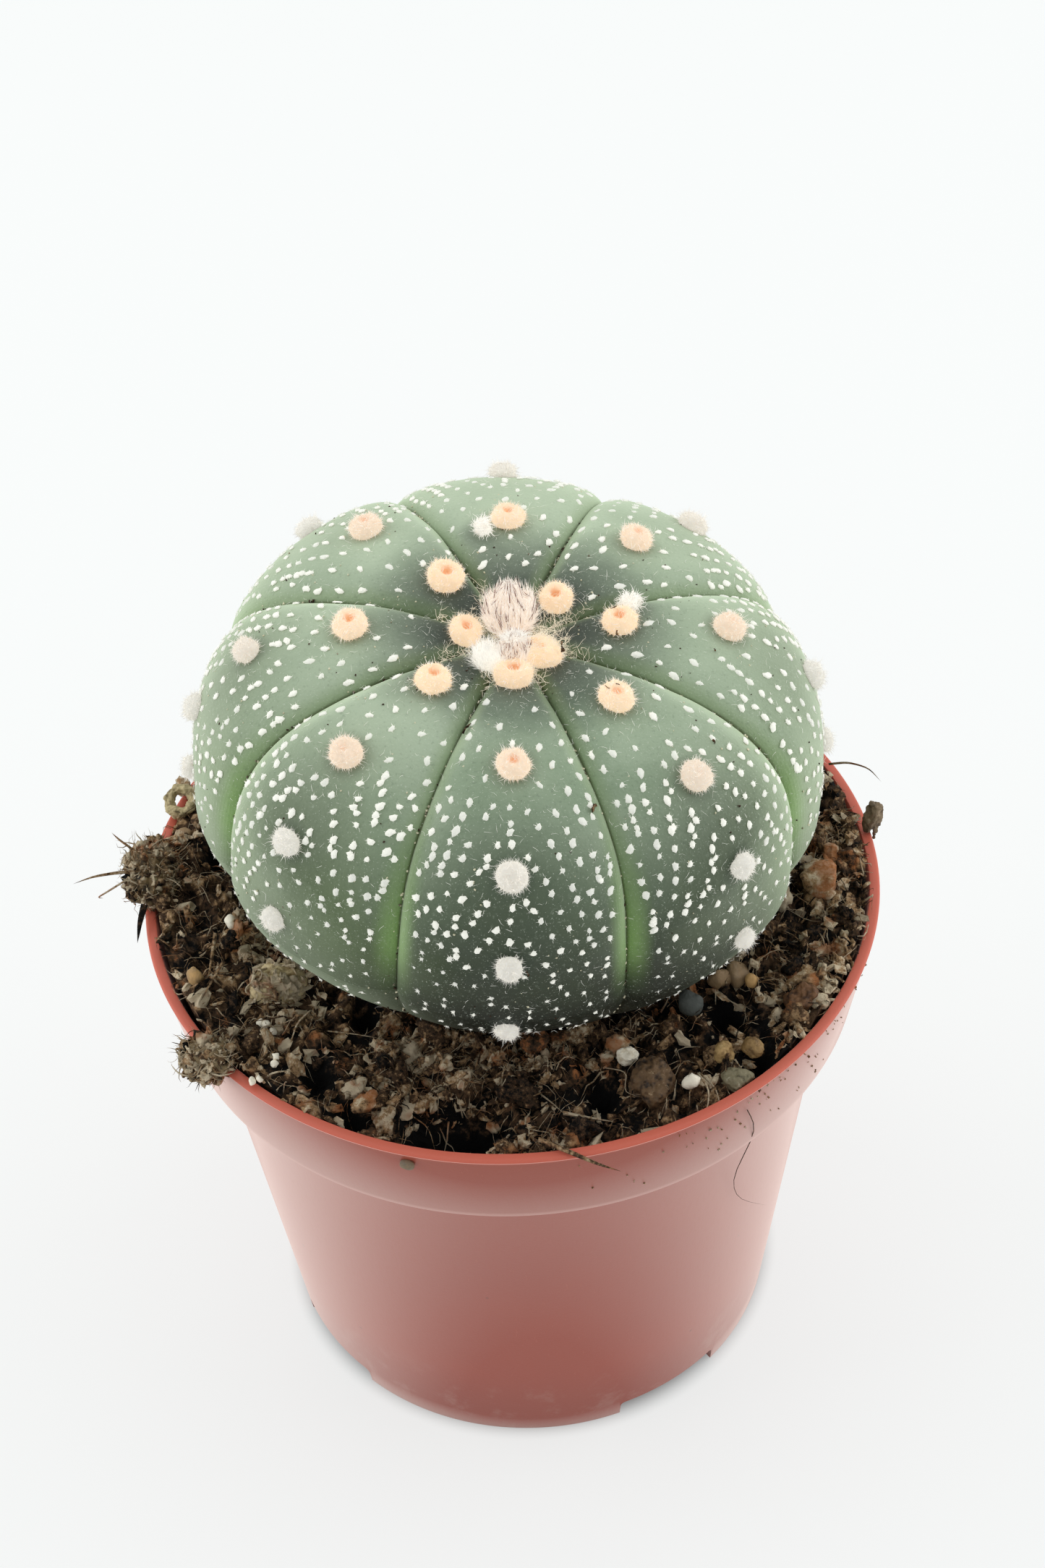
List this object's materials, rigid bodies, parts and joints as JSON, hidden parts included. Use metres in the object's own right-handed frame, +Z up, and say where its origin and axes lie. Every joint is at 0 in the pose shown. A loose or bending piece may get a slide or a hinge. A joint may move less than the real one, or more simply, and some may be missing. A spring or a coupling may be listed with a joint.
{
  "type": "potted star cactus",
  "caption": "Low round star cactus with flat ribs, woolly tufts, white flecks and flower buds, growing in soil in a small plastic nursery pot that stands on its foot ring.",
  "frame": {"origin": "the middle of the pot's foot, on the surface that it stands on", "axes": "+Z up along the pot's axis, -Y towards the front of the picture, +X to its right"},
  "size_m": [0.089, 0.085, 0.1082],
  "materials": {
    "pot": "satin terracotta-coloured moulded plastic, dusty, with a brighter rim",
    "soil": "dark damp peat with bark crumbs and fibres",
    "stem": "waxy grey-green skin with white woolly flecks, bright green in the valleys",
    "bud": "grey wool with reddish-brown bristles",
    "peat": "dry mossy peat with rootlets",
    "bark": "rough weathered bark",
    "stone": "dull rounded pebble",
    "perlite": "white, matt and pitted"
  },
  "bodies": {
    "root": {"pot": "pot", "soil": "soil", "cactus_stem": "stem", "flower_bud_large": "bud", "flower_bud_small": "bud", "peat_clump_left": "peat", "peat_clump_front": "peat", "bark_ring": "bark", "bark_chip_pale": "bark", "bark_chip_brown": "bark", "twig_stub": "bark", "stone_dark": "stone", "stone_tan_left": "stone", "stone_tan_right": "stone", "stone_mottled": "stone", "perlite_grain": "perlite"}
  },
  "joints": []
}
